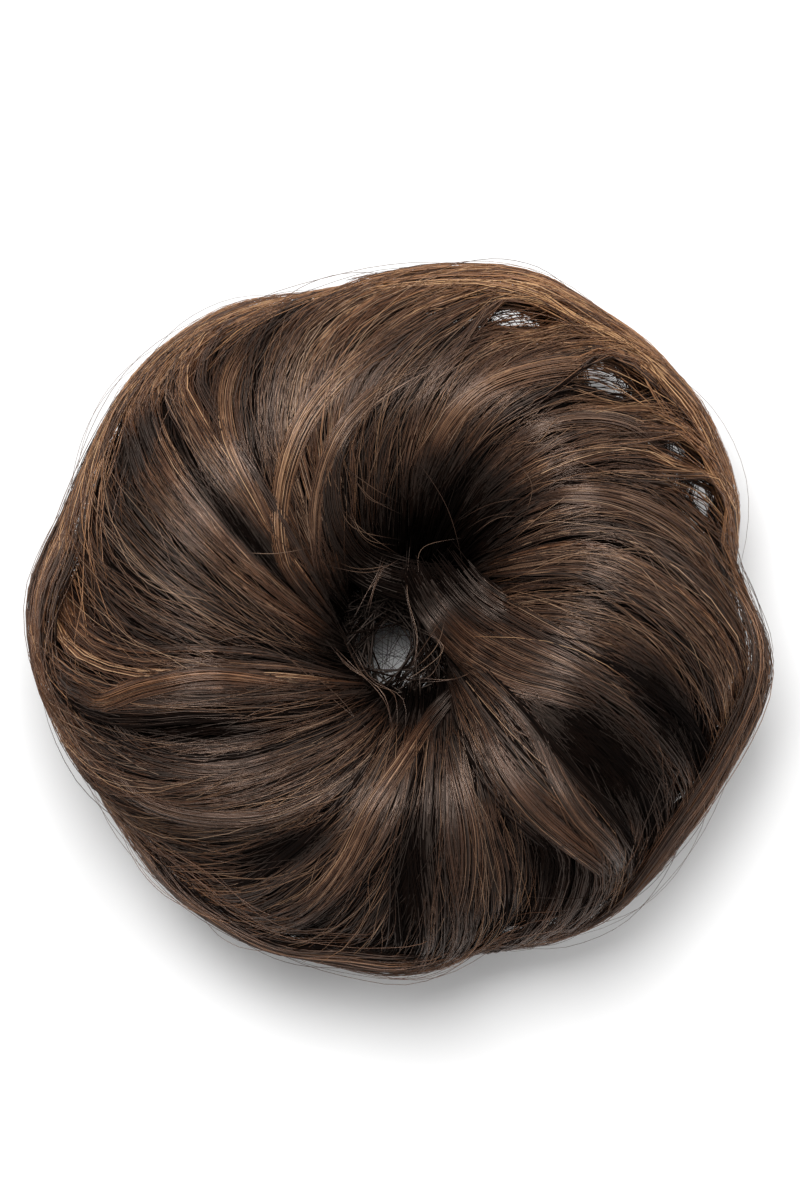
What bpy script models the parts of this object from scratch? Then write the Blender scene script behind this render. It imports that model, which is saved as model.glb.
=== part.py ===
"""Top knot hairpiece: a ring of swirled hair locks, sewn round a hidden elastic band.

Metres, +Z up. The hairpiece lies on its flat underside, and the origin is at the middle of
that side. Angles are degrees about +Z, counted from +X and anticlockwise seen from above.
A lift is the angle round the ring's own cross-section: 0 faces the open middle, 90 is the
crest, 180 is the outer rim and 270 is the underside.
"""

import math

import bmesh
import bpy
import numpy as np

# Sizes of the hair ring, without the separate locks that lie over it
RIM_RADIUS = 0.0632  # the ring's mean outer radius, at its widest
WELL_RADIUS = 0.0120  # the open middle, where the wearer's own knot goes
CREST_HEIGHT = 0.0460  # the mean height of the ring's top
WIDEST_HEIGHT = 0.0220  # where the ring is widest, above the table
REST_PRESS = 0.0015  # how far its own weight presses the round underside flat on the table

# Sizes of the elastic band
BAND_THICKNESS = 0.0050
BAND_OPENING = 0.0240  # the band's free inside diameter, at rest
BAND_HEIGHT = 0.0095  # the middle of the band, above the table
BAND_CLEARANCE = 0.0003  # between the band and the channel that the hair leaves for it

# Sizes of the locks
LOCK_WIDTH = 0.0200  # a broad lock where it is widest
LOCK_THICKNESS = 0.0026
RIM_LOCK_WIDTH = 0.0130
RIM_LOCK_THICKNESS = 0.0020
LOCK_CLEARANCE = 0.0005  # between a lock and the faceted hair below it
EDGE_SHARE = 0.26  # the thickness of a lock's edge, as a share of its middle's

# Shares of RIM_RADIUS, every 30 degrees from +X: the outline seen from above
OUTLINE = (0.965, 1.01, 0.99, 0.985, 1.02, 1.01, 1.0, 1.02, 0.955, 0.985, 0.93, 0.89)

# Shares of CREST_HEIGHT, every 60 degrees from +X
CRESTS = (1.0, 0.95, 0.99, 1.03, 1.02, 0.97)

# Shares of WELL_RADIUS, every 30 degrees from +X: the mouth of the open middle, which is a
# slanting slot with the dark eye of the swirl at its wide end
MOUTH = (0.84, 1.18, 2.00, 1.66, 1.30, 1.14, 1.06, 1.08, 1.16, 1.22, 1.04, 0.84)
MOUTH_STARTS = 0.0  # the lift where the round wall by the band starts to take the mouth's shape
MOUTH_ENDS = 40.0  # and where it has it

# Every lock from the middle to the rim has its angle listed at these lifts
LIFTS = (22.0, 55.0, 88.0, 118.0, 148.0, 182.0, 224.0)

# Locks that are fused to the ring: angle at each lift, then shares of LOCK_WIDTH and
# LOCK_THICKNESS
FUSED_LOCKS = (
    ((98, 99, 95, 82, 72, 58, 42), 1.15, 0.85),
    ((168, 150, 136, 126, 114, 97, 82), 1.05, 0.92),
    ((214, 188, 169, 159, 151, 137, 121), 1.15, 0.92),
    ((285, 272, 268, 263, 255, 242, 228), 1.10, 0.80),
    ((334, 332, 329, 325, 318, 308, 294), 1.20, 0.92),
    ((378, 369, 360, 350, 340, 326, 310), 1.30, 0.96),
)

# Locks that lie over the ring, lowest first: name, angle at each lift, then shares of
# LOCK_WIDTH and LOCK_THICKNESS
OVER_LOCKS = (
    ("lock_right_middle", (366, 366, 360, 350, 339, 325, 310), 1.00, 0.92),
    ("lock_bottom_broad", (303, 288, 281, 280, 278, 272, 262), 1.00, 0.96),
    ("lock_left_middle", (250, 226, 212, 204, 195, 181, 166), 0.90, 0.92),
    ("lock_upper_right", (60, 56, 50, 43, 32, 18, 3), 1.00, 0.92),
    ("lock_right_upper", (42, 36, 27, 11, -5, -20, -36), 0.95, 1.00),
    ("lock_top_right", (84, 82, 76, 67, 57, 42, 27), 0.95, 1.00),
    ("lock_top_left", (152, 129, 118, 105, 88, 70, 56), 1.00, 1.00),
    ("lock_upper_left", (190, 164, 149, 142, 136, 121, 105), 0.90, 0.96),
    ("lock_left_lower", (262, 250, 232, 217, 203, 186, 170), 0.90, 0.96),
    ("lock_left_golden", (244, 208, 195, 191, 184, 171, 156), 0.70, 1.08),
    ("lock_bottom_left", (275, 266, 257, 249, 242, 231, 218), 0.75, 1.00),
    ("lock_right_lower", (351, 342, 336, 331, 325, 315, 301), 1.00, 1.00),
    ("lock_crossing_outer", (331, 322, 314, 312, 309, 297, 284), 0.55, 1.00),
    ("lock_crossing_inner", (318, 305, 304, 308, 301, 289, 276), 0.55, 1.00),
)

# Locks that run round the rim, lowest first: name, first and last angle, lift at the start,
# middle and end
RIM_LOCKS = (
    ("rim_lock_upper_right", 100, 18, (158, 168, 180)),
    ("rim_lock_lower_right", 12, -70, (158, 172, 184)),
    ("rim_lock_lower_left", 278, 204, (158, 172, 184)),
    ("rim_lock_upper_left", 196, 110, (158, 170, 182)),
)

# A lock's width and thickness from its root to its tip, as shares of its widest and thickest
LOCK_WIDTHS = (0.28, 0.60, 0.90, 1.00, 0.95, 0.76, 0.24)
LOCK_THICKNESSES = (0.46, 0.76, 1.00, 1.00, 0.90, 0.66, 0.40)

# Fineness of the faceted solids
RING_COLUMNS = 84
RING_ROWS = 24
BAND_COLUMNS = 36
BAND_SIDES = 8
LOCK_STATIONS = 21
TOP_SIDES = (-1.0, -0.62, 0.0, 0.62, 1.0)  # places across a lock's top, as shares of its half width
UNDER_SIDES = (0.92, 0.31, -0.31, -0.92)
FIELD_COLUMNS = 180  # cells of the table of heights that the locks are draped over
FIELD_ROWS = 90
FIELD_STATIONS = 240  # places along and across a lock where its top is written to that table
FIELD_SIDES = 31
ROUTE_STEP = 0.01  # the share of a lock's length over which its direction is measured
SHARP_ANGLE = 50.0  # edges that turn by more degrees than this are shaded sharp

HAIR_BROWN = (0.060, 0.033, 0.022, 1.0)
HAIR_UNDER_BROWN = (0.030, 0.018, 0.013, 1.0)
HAIR_RIM_BROWN = (0.145, 0.078, 0.038, 1.0)
BAND_BLACK = (0.012, 0.011, 0.011, 1.0)


def clear_scene():
    """Removes what the file opened with."""
    for thing in list(bpy.data.objects):
        bpy.data.objects.remove(thing)


def make_material(name, colour, roughness):
    material = bpy.data.materials.new(name)
    material.use_nodes = True
    shader = material.node_tree.nodes["Principled BSDF"]
    shader.inputs["Base Color"].default_value = colour
    shader.inputs["Roughness"].default_value = roughness
    shader.inputs["Metallic"].default_value = 0.0
    material.diffuse_color = colour
    return material


def smooth_step(low, high, value):
    """0 up to low, 1 from high, and an even S between."""
    share = np.clip((value - low) / (high - low), 0.0, 1.0)
    return share * share * (3.0 - 2.0 * share)


def round_table(shares, angle):
    """A value from shares that are spaced evenly round the circle, eased between them."""
    place = (angle / 360.0 * len(shares)) % len(shares)
    first = np.floor(place).astype(int) % len(shares)
    shares = np.asarray(shares, float)
    ease = smooth_step(0.0, 1.0, place - np.floor(place))
    return shares[first] * (1.0 - ease) + shares[(first + 1) % len(shares)] * ease


def curve_through(places, values, place):
    """A smooth curve through values at rising places, read at place."""
    places = np.asarray(places, float)
    values = np.asarray(values, float)
    slopes = np.gradient(values, places)
    i = np.clip(np.searchsorted(places, place) - 1, 0, len(places) - 2)
    step = places[i + 1] - places[i]
    t = (place - places[i]) / step
    start = (1 + 2 * t) * (1 - t) ** 2 * values[i] + t * (1 - t) ** 2 * step * slopes[i]
    end = t * t * (3 - 2 * t) * values[i + 1] + t * t * (t - 1) * step * slopes[i + 1]
    return start + end


def section(angle, lift):
    """Middle radius and half width of the ring's cross-section."""
    outer = RIM_RADIUS * round_table(OUTLINE, angle)
    turned = (lift + 180.0) % 360.0 - 180.0
    mouth = smooth_step(MOUTH_STARTS, MOUTH_ENDS, turned) * (round_table(MOUTH, angle) - 1.0)
    inner = WELL_RADIUS * (1.0 + mouth * (turned > 0.0))
    return (outer + inner) / 2.0, (outer - inner) / 2.0


def ring_point(angle, lift, height):
    """The point that is height above the ring's plain surface. It never lies below the table."""
    middle, half_width = section(angle, lift)
    around = np.radians(lift)
    above = CREST_HEIGHT * round_table(CRESTS, angle) - WIDEST_HEIGHT
    half_height = np.where(np.sin(around) > 0.0, above, WIDEST_HEIGHT + REST_PRESS)
    radius = middle - (half_width + height) * np.cos(around)
    z = np.maximum(WIDEST_HEIGHT + (half_height + height) * np.sin(around), 0.0)
    turn = np.radians(angle)
    return np.stack([radius * np.cos(turn), radius * np.sin(turn), z], axis=-1)


def metres_per_degree(angle, lift):
    """How far one degree of angle, and one degree of lift, reach on the ring's surface."""
    step = 0.5
    over = ring_point(angle, lift, 0.0)
    along = np.linalg.norm(ring_point(angle + step, lift, 0.0) - over, axis=-1) / step
    up = np.linalg.norm(ring_point(angle, lift + step, 0.0) - over, axis=-1) / step
    return along, up


class Lock:
    """A flat lock of hair that follows a route over the ring."""

    def __init__(self, angles, lifts, width, thickness, base=None):
        self.places = np.linspace(0.0, 1.0, len(angles))
        self.angles = angles
        self.lifts = lifts
        self.width = width
        self.thickness = thickness
        self.base = base  # heights of what it lies on, or None where it is fused to the ring

    def route(self, share):
        angle = curve_through(self.places, self.angles, share)
        return angle, curve_through(self.places, self.lifts, share)

    def surface(self, share, side):
        """Angle, lift, lower height and upper height at a share of the length, and at a side
        from -1 to 1 across."""
        angle, lift = self.route(share)
        ahead_angle, ahead_lift = self.route(share + ROUTE_STEP)
        back_angle, back_lift = self.route(share - ROUTE_STEP)
        along, up = metres_per_degree(angle, lift)
        forward = (ahead_angle - back_angle) * along
        rise = (ahead_lift - back_lift) * up
        length = np.hypot(forward, rise)
        places = np.linspace(0.0, 1.0, len(LOCK_WIDTHS))
        out = side * self.width / 2.0 * curve_through(places, LOCK_WIDTHS, share)
        angle = angle - out * rise / length / along
        lift = lift + out * forward / length / up
        thickness = self.thickness * curve_through(places, LOCK_THICKNESSES, share)
        crown = np.sqrt(np.clip(1.0 - side * side, 0.0, 1.0))
        if self.base is None:
            return angle, lift, 0.0 * thickness, thickness * crown
        low = read_field(self.base, angle, lift) + LOCK_CLEARANCE
        return angle, lift, low, low + thickness * (EDGE_SHARE + (1.0 - EDGE_SHARE) * crown)


def over_lock(angles, width_share, thickness_share, base=None):
    return Lock(angles, LIFTS, width_share * LOCK_WIDTH, thickness_share * LOCK_THICKNESS, base)


def rim_lock(first, last, lifts, base):
    middle = (first + last) / 2.0
    return Lock((first, middle, last), lifts, RIM_LOCK_WIDTH, RIM_LOCK_THICKNESS, base)


def field_cell(angle, lift):
    column = angle / 360.0 * FIELD_COLUMNS
    row = lift / 360.0 * FIELD_ROWS
    return column, row


def read_field(field, angle, lift):
    """A height between the cells of the table."""
    column, row = field_cell(angle, lift)
    i = np.floor(column).astype(int)
    j = np.floor(row).astype(int)
    right = column - i
    up = row - j
    columns = (i % FIELD_COLUMNS, (i + 1) % FIELD_COLUMNS)
    rows = (j % FIELD_ROWS, (j + 1) % FIELD_ROWS)
    low = field[columns[0], rows[0]] * (1 - right) + field[columns[1], rows[0]] * right
    high = field[columns[0], rows[1]] * (1 - right) + field[columns[1], rows[1]] * right
    return low * (1 - up) + high * up


def raise_field(field, lock):
    """Lifts the table of heights to the top of a lock."""
    shares = np.linspace(0.0, 1.0, FIELD_STATIONS)
    share, side = np.meshgrid(shares, np.linspace(-1.0, 1.0, FIELD_SIDES))
    angle, lift, _, high = lock.surface(share.ravel(), side.ravel())
    column, row = field_cell(angle, lift)
    for across in (0, 1):
        for upward in (0, 1):
            i = (np.floor(column).astype(int) + across) % FIELD_COLUMNS
            j = (np.floor(row).astype(int) + upward) % FIELD_ROWS
            np.maximum.at(field, (i, j), high)


def draped(field):
    """The heights widened and then evened, so that a lock laid on them clears every facet."""
    wide = field.copy()
    for across in (-1, 0, 1):
        for upward in (-1, 0, 1):
            wide = np.maximum(wide, np.roll(field, (across, upward), (0, 1)))
    even = np.zeros_like(wide)
    for across in (-1, 0, 1):
        for upward in (-1, 0, 1):
            even += np.roll(wide, (across, upward), (0, 1)) / 9.0
    return even


def add_object(name, mesh, material, collection):
    thing = bpy.data.objects.new(name, mesh)
    thing.data.materials.append(material)
    collection.objects.link(thing)
    return thing


def torus(name, columns, rows, minor_radius=0.25):
    """A torus of major radius 1, whose vertices are then moved to the real shape."""
    bpy.ops.mesh.primitive_torus_add(
        major_radius=1.0,
        minor_radius=minor_radius,
        major_segments=columns,
        minor_segments=rows,
    )
    thing = bpy.context.object
    thing.name = name
    return thing


def move_to(thing, collection, material):
    for home in list(thing.users_collection):
        home.objects.unlink(thing)
    collection.objects.link(thing)
    thing.data.materials.append(material)


def make_ring(field, material, collection):
    """The under-hair: a ring with its lower locks fused to it."""
    thing = torus("under_hair", RING_COLUMNS, RING_ROWS)
    corners = np.array([corner.co[:] for corner in thing.data.vertices])
    angle = np.degrees(np.arctan2(corners[:, 1], corners[:, 0])) % 360.0
    inward = 1.0 - np.hypot(corners[:, 0], corners[:, 1])
    lift = np.degrees(np.arctan2(corners[:, 2], inward)) % 360.0
    points = ring_point(angle, lift, read_field(field, angle, lift))
    thing.data.vertices.foreach_set("co", points.ravel())
    move_to(thing, collection, material)
    return thing


def make_band(name, radius, thickness, material, collection):
    """A round ring of round section, at the band's height."""
    thing = torus(name, BAND_COLUMNS, BAND_SIDES, thickness / 2.0 / radius)
    thing.scale = (radius, radius, radius)
    thing.location.z = BAND_HEIGHT
    bpy.ops.object.transform_apply(location=True, rotation=False, scale=True)
    move_to(thing, collection, material)
    thing.data.shade_smooth()
    return thing


def cut_channel(ring, cutter):
    """The channel in the wall of the open middle where the band lies."""
    cut = ring.modifiers.new("band_channel", "BOOLEAN")
    cut.operation = "DIFFERENCE"
    cut.object = cutter
    cutter.hide_render = True
    cutter.display_type = "WIRE"


def centre_over_origin(*collections):
    """Moves everything so that the middle of the parts' box, seen from above, is the origin."""
    bpy.context.view_layer.update()
    evaluated = bpy.context.evaluated_depsgraph_get()
    corners = []
    for thing in collections[0].objects:
        mesh = thing.evaluated_get(evaluated).data
        corners += [thing.matrix_world @ corner.co for corner in mesh.vertices]
    corners = np.array([corner[:2] for corner in corners])
    middle = (corners.min(axis=0) + corners.max(axis=0)) / 2.0
    for collection in collections:
        for thing in collection.objects:
            thing.location.x -= middle[0]
            thing.location.y -= middle[1]


def make_lock(name, lock, material, collection):
    """Lofts a lock through its cross-sections, with a flat end at its root and at its tip."""
    bm = bmesh.new()
    loops = []
    for share in np.linspace(0.0, 1.0, LOCK_STATIONS):
        loop = []
        for sides, upper in ((TOP_SIDES, True), (UNDER_SIDES, False)):
            for side in sides:
                angle, lift, low, high = lock.surface(np.array(share), np.array(side))
                point = ring_point(angle, lift, high if upper else low)
                loop.append(bm.verts.new(point))
        loops.append(loop)
    for near, far in zip(loops, loops[1:]):
        for i in range(len(near)):
            after = (i + 1) % len(near)
            bm.faces.new((near[i], near[after], far[after], far[i]))
    bm.faces.new(loops[0])
    bm.faces.new(loops[-1])
    bmesh.ops.recalc_face_normals(bm, faces=bm.faces[:])
    mesh = bpy.data.meshes.new(name)
    bm.to_mesh(mesh)
    bm.free()
    mesh.shade_smooth()
    mesh.set_sharp_from_angle(angle=math.radians(SHARP_ANGLE))
    return add_object(name, mesh, material, collection)


def build():
    clear_scene()
    parts = bpy.data.collections.new("top_knot_hairpiece")
    cutters = bpy.data.collections.new("cutters")
    for collection in (parts, cutters):
        bpy.context.scene.collection.children.link(collection)
    hair = make_material("hair", HAIR_BROWN, 0.42)
    under_hair = make_material("under_hair", HAIR_UNDER_BROWN, 0.5)
    rim_hair = make_material("rim_hair", HAIR_RIM_BROWN, 0.42)
    elastic = make_material("elastic", BAND_BLACK, 0.7)

    field = np.zeros((FIELD_COLUMNS, FIELD_ROWS))
    for angles, width_share, thickness_share in FUSED_LOCKS:
        raise_field(field, over_lock(angles, width_share, thickness_share))
    ring = make_ring(field, under_hair, parts)

    band_radius = (BAND_OPENING + BAND_THICKNESS) / 2.0
    channel = BAND_THICKNESS + 2.0 * BAND_CLEARANCE
    cut_channel(ring, make_band("channel_cutter", band_radius, channel, elastic, cutters))
    make_band("elastic_band", band_radius, BAND_THICKNESS, elastic, parts)

    for name, angles, width_share, thickness_share in OVER_LOCKS:
        lock = over_lock(angles, width_share, thickness_share, draped(field))
        make_lock(name, lock, hair, parts)
        raise_field(field, lock)
    for name, first, last, lifts in RIM_LOCKS:
        lock = rim_lock(first, last, lifts, draped(field))
        make_lock(name, lock, rim_hair, parts)
        raise_field(field, lock)
    centre_over_origin(parts, cutters)


build()
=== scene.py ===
import math

import bmesh
import bpy
import numpy as np
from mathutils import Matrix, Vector
from mathutils.bvhtree import BVHTree


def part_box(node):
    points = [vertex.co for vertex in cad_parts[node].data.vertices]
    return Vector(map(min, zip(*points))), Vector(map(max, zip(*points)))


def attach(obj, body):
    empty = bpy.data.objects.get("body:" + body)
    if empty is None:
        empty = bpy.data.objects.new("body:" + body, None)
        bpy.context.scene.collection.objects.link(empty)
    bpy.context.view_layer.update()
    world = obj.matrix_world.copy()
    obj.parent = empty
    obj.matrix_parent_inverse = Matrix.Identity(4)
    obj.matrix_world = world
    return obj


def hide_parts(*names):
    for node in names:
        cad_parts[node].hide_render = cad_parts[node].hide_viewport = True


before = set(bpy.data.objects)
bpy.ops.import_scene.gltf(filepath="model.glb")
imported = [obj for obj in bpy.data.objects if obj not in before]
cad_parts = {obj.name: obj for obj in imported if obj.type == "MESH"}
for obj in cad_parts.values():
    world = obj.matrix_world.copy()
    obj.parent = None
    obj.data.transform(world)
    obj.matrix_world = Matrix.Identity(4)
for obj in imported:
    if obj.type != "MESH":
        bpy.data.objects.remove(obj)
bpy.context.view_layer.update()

mm = 0.001

# The hair ring without its locks, in millimetres and degrees. A lift is the angle round the
# ring's own section: 0 faces the well, 90 is the crest, 180 the rim and 270 the underside.
ringForm = {
    "rimRadius": 63.2,
    "wellRadius": 12.0,
    "crestHeight": 46.0,
    "widestHeight": 22.0,
    "restPress": 1.5,
    "outline": (0.965, 1.01, 0.99, 0.985, 1.02, 1.01, 1.0, 1.02, 0.955, 0.985, 0.93, 0.89),
    "crests": (1.0, 0.95, 0.99, 1.03, 1.02, 0.97),
    "mouth": (0.84, 1.18, 2.00, 1.66, 1.30, 1.14, 1.06, 1.08, 1.16, 1.22, 1.04, 0.84),
    "mouthEnds": 40.0,
}

# Every lock's angle is listed at these lifts
liftStops = (22.0, 55.0, 88.0, 118.0, 148.0, 182.0, 224.0)

# How the hair is combed: where it crosses the crest, and how far it has turned at each stop
comb = (
    (27, (15, 9, 0, -16, -32, -47, -63)),
    (50, (10, 6, 0, -8, -19, -33, -48)),
    (76, (8, 6, 0, -9, -19, -34, -49)),
    (96, (14, 8, 0, -13, -26, -40, -55)),
    (118, (34, 11, 0, -13, -30, -48, -62)),
    (136, (32, 14, 0, -10, -22, -39, -54)),
    (149, (41, 15, 0, -7, -13, -28, -44)),
    (169, (45, 19, 0, -10, -18, -32, -48)),
    (190, (38, 15, 0, -8, -17, -31, -46)),
    (212, (36, 16, 0, -9, -18, -32, -47)),
    (235, (28, 16, 0, -12, -25, -41, -56)),
    (257, (18, 9, 0, -8, -16, -28, -41)),
    (281, (18, 7, 0, -2, -5, -12, -24)),
    (308, (10, 4, 0, -2, -8, -19, -32)),
    (336, (15, 6, 0, -5, -11, -21, -35)),
    (360, (8, 6, 0, -11, -23, -38, -53)),
)

draws = np.random.default_rng(41)


def toLinear(hexColour):
    values = [int(hexColour[i:i + 2], 16) / 255.0 for i in (1, 3, 5)]
    linear = [v / 12.92 if v <= 0.04045 else ((v + 0.055) / 1.055) ** 2.4 for v in values]
    return (linear[0], linear[1], linear[2], 1.0)


def smoothStep(low, high, value):
    share = np.clip((value - low) / (high - low), 0.0, 1.0)
    return share * share * (3.0 - 2.0 * share)


def roundTable(shares, angle):
    place = (angle / 360.0 * len(shares)) % len(shares)
    first = np.floor(place).astype(int) % len(shares)
    shares = np.asarray(shares, float)
    ease = smoothStep(0.0, 1.0, place - np.floor(place))
    return shares[first] * (1.0 - ease) + shares[(first + 1) % len(shares)] * ease


def curveThrough(places, table, x):
    # one smooth curve for each row of the table, read at that row's x
    places = np.asarray(places, float)
    table = np.atleast_2d(np.asarray(table, float))
    slopes = np.gradient(table, places, axis=1)
    i = np.clip(np.searchsorted(places, x) - 1, 0, len(places) - 2)
    step = places[i + 1] - places[i]
    t = (x - places[i]) / step
    rows = np.broadcast_to(np.arange(table.shape[0])[:, None], x.shape) if table.shape[0] > 1 else 0 * i
    start = (1 + 2 * t) * (1 - t) ** 2 * table[rows, i] + t * (1 - t) ** 2 * step * slopes[rows, i]
    end = t * t * (3 - 2 * t) * table[rows, i + 1] + t * t * (t - 1) * step * slopes[rows, i + 1]
    return start + end


bandLow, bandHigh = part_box("elastic_band")
wellX = (bandLow.x + bandHigh.x) / 2.0
wellY = (bandLow.y + bandHigh.y) / 2.0


def ringPoint(angle, lift, height, table=0.0003):
    # the point that lies height above the plain ring, never under the table
    outer = ringForm["rimRadius"] * mm * roundTable(ringForm["outline"], angle)
    turned = (lift + 180.0) % 360.0 - 180.0
    mouth = smoothStep(0.0, ringForm["mouthEnds"], turned) * (roundTable(ringForm["mouth"], angle) - 1.0)
    inner = ringForm["wellRadius"] * mm * (1.0 + mouth * (turned > 0.0))
    middle = (outer + inner) / 2.0
    halfWidth = (outer - inner) / 2.0
    around = np.radians(lift)
    widest = ringForm["widestHeight"] * mm
    above = ringForm["crestHeight"] * mm * roundTable(ringForm["crests"], angle) - widest
    halfHeight = np.where(np.sin(around) > 0.0, above, widest + ringForm["restPress"] * mm)
    radius = middle - (halfWidth + height) * np.cos(around)
    z = np.maximum(widest + (halfHeight + height) * np.sin(around), table)
    turn = np.radians(angle)
    return np.stack([wellX + radius * np.cos(turn), wellY + radius * np.sin(turn), z], axis=-1)


def metresPerDegree(angle, lift):
    step = 0.5
    here = ringPoint(angle, lift, 0.0)
    along = np.linalg.norm(ringPoint(angle + step, lift, 0.0) - here, axis=-1) / step
    up = np.linalg.norm(ringPoint(angle, lift + step, 0.0) - here, axis=-1) / step
    return along, np.maximum(up, 0.0001)


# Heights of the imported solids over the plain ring, found with rays
rayStart, rayEnd = 16 * mm, -12 * mm


def treeOf(*names):
    corners = []
    faces = []
    for name in names:
        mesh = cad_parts[name].data
        first = len(corners)
        corners += [corner.co[:] for corner in mesh.vertices]
        faces += [[first + i for i in face.vertices] for face in mesh.polygons]
    return BVHTree.FromPolygons(corners, faces)


def heightsOn(tree, angle, lift):
    begin = ringPoint(angle, lift, rayStart, -1.0)
    finish = ringPoint(angle, lift, rayEnd, -1.0)
    found = np.full(angle.shape, np.nan)
    for place in np.ndindex(angle.shape):
        way = Vector(finish[place] - begin[place])
        hit = tree.ray_cast(Vector(begin[place]), way, way.length)
        if hit[0] is not None:
            found[place] = rayStart + (rayEnd - rayStart) * hit[3] / way.length
    return found


def blurred(heights, times):
    for _ in range(times):
        for axis in (0, 1):
            heights = (np.roll(heights, 1, axis) + 2.0 * heights + np.roll(heights, -1, axis)) / 4.0
    return heights


def blend(grid, i0, i1, a, j0, j1, b):
    low = grid[i0, j0] * (1 - a) + grid[i1, j0] * a
    high = grid[i0, j1] * (1 - a) + grid[i1, j1] * a
    return low * (1 - b) + high * b


def readGrid(grid, row, column):
    # the value at a place between cells
    i = np.minimum(np.floor(row).astype(int), grid.shape[0] - 2)
    j = np.minimum(np.floor(column).astype(int), grid.shape[1] - 2)
    return blend(grid.T, j, j + 1, column - j, i, i + 1, row - i)


class HeightMap:
    columns, rows = 144, 72

    def __init__(self, tree, blur):
        angle, lift = np.meshgrid(np.arange(self.columns) * 360.0 / self.columns,
                                  np.arange(self.rows) * 360.0 / self.rows, indexing="ij")
        heights = heightsOn(tree, angle, lift)
        self.heights = blurred(np.where(np.isnan(heights), 0.0, heights), blur)

    def read(self, angle, lift):
        column = angle / 360.0 * self.columns
        row = lift / 360.0 * self.rows
        i = np.floor(column).astype(int)
        j = np.floor(row).astype(int)
        return blend(self.heights, i % self.columns, (i + 1) % self.columns, column - i,
                     j % self.rows, (j + 1) % self.rows, row - j)


def alongStrand(stations):
    # 0 at the root to 1 at the tip
    return np.linspace(0.0, 1.0, stations)[None, :]


def waves(count, t):
    # a slow drift between about -1 and 1 for each of count strands
    total = np.zeros((count, t.shape[1]))
    for i in range(3):
        speed = draws.uniform(0.4, 1.0, (count, 1)) * 0.8 * (i + 1)
        phase = draws.uniform(0.0, 2.0 * math.pi, (count, 1))
        total += np.sin(2.0 * math.pi * speed * t + phase) / (i + 1.0) ** 1.3
    return total / 1.6


def combTable(crest):
    # the angles at the lift stops of strands that cross the crest at these angles
    stops = np.array([row[0] for row in comb], float)
    turns = np.array([row[1] for row in comb], float)
    stops = np.concatenate([stops - 360.0, stops, stops + 360.0])
    turns = np.concatenate([turns, turns, turns])
    wanted = crest % 360.0
    return np.stack([crest + np.interp(wanted, stops, turns[:, k]) for k in range(turns.shape[1])], axis=1)


def shifted(angleOf, liftOf, t, out):
    # angle and lift of a point that lies out metres to the side of a route
    step = 0.01
    angle, lift = angleOf(t), liftOf(t)
    along, up = metresPerDegree(angle, lift)
    forward = (angleOf(t + step) - angleOf(t - step)) * along
    rise = (liftOf(t + step) - liftOf(t - step)) * up
    length = np.hypot(forward, rise)
    return angle - out * rise / length / along, lift + out * forward / length / up


def narrowed(u, before, rootLength, past, tipLength):
    # 1 along a strand, less at its root and tip
    return np.minimum(1.0, np.minimum((u + before) / rootLength, (past - u) / tipLength))


def sideways(wanted, shape):
    return np.zeros(shape) + np.array(wanted)


# below this tone a length takes the matt copy of the hair, painted shade
paintedShadeTone = 0.15


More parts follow.
